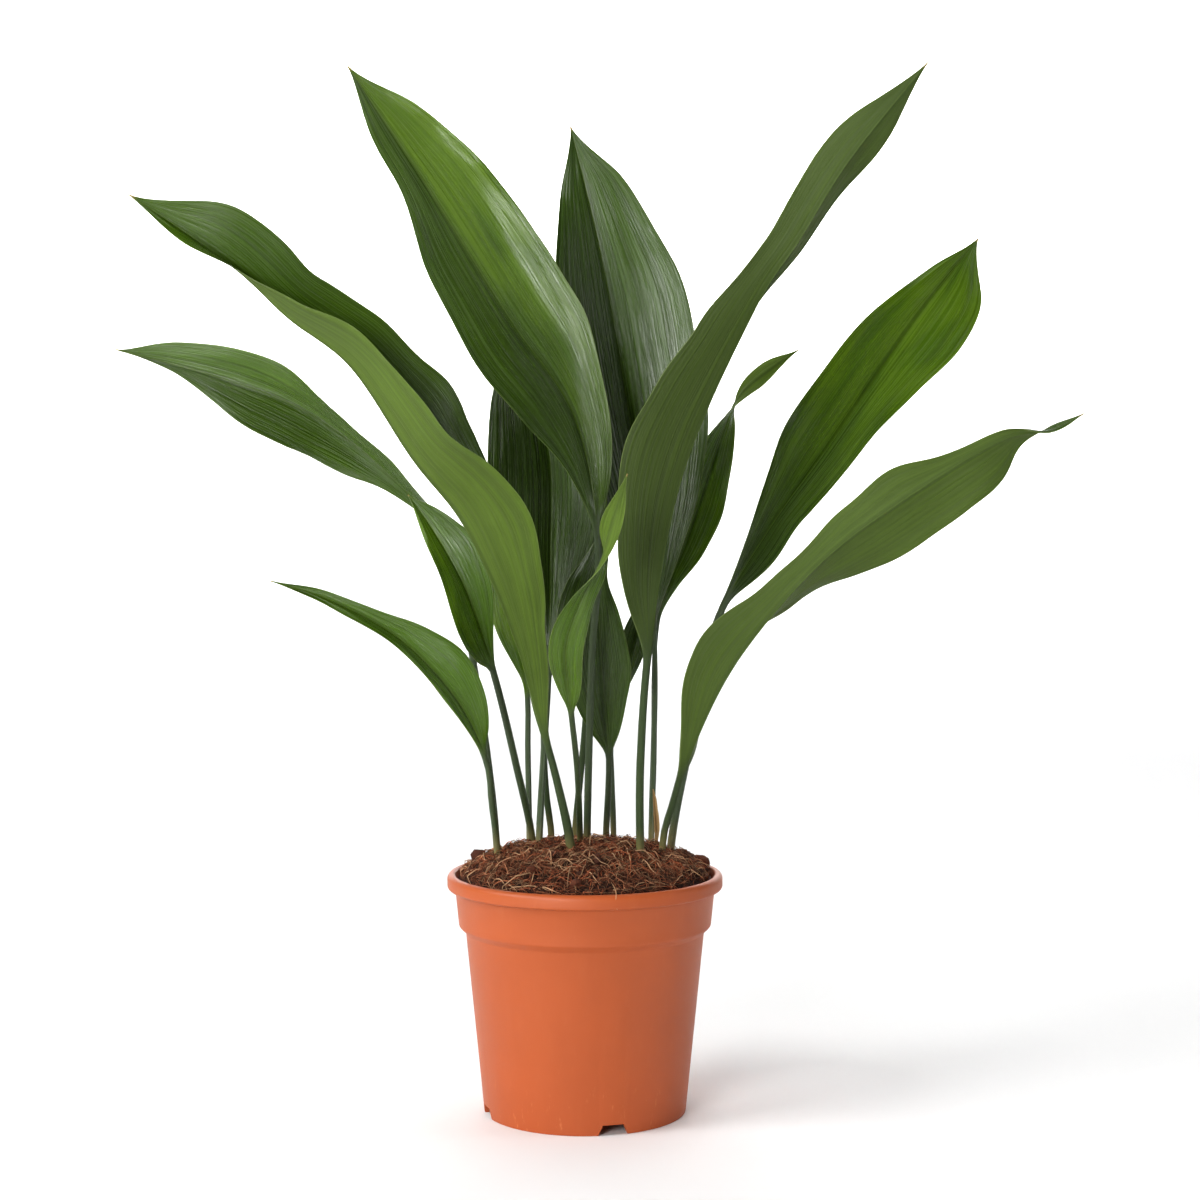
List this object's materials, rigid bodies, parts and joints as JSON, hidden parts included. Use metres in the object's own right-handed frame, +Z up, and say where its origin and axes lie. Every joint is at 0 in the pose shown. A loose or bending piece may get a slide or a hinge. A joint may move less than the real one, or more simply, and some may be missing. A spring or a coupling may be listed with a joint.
{
  "type": "potted cast iron plant",
  "caption": "Potted cast iron plant: broad lance-shaped evergreen leaves on thin stalks, rising from coir mulch in a round tapered terracotta-coloured plastic nursery pot.",
  "frame": {"origin": "on the floor under the centre of the plant's bounding box, within 3 mm of the pot's axis at the plane of the pot's foot", "axes": "+Z up along the pot's axis, +Y away from the plant's front, +X to the right seen from the front"},
  "size_m": [0.5833, 0.2707, 0.6323],
  "materials": {
    "pot": "satin",
    "root_ball": "matte",
    "coir_mulch": "matte",
    "dry_sheath": "matte",
    "leaf": "satin"
  },
  "bodies": {
    "root": {"pot": "pot", "root_ball": "root_ball", "coir_mulch": "coir_mulch", "dry_sheath": "dry_sheath", "leaf_far_left_high": "leaf", "leaf_far_left_low": "leaf", "leaf_tall_left": "leaf", "leaf_centre_left": "leaf", "leaf_tall_centre": "leaf", "leaf_tall_right": "leaf", "leaf_small_front": "leaf", "leaf_low_centre": "leaf", "leaf_back_right": "leaf", "leaf_broad_right": "leaf", "leaf_low_right": "leaf", "leaf_small_left": "leaf", "leaf_mid_left": "leaf", "leaf_young_left": "leaf", "leaf_young_right": "leaf", "leaf_back_left": "leaf", "leaf_back_centre": "leaf"}
  },
  "joints": []
}
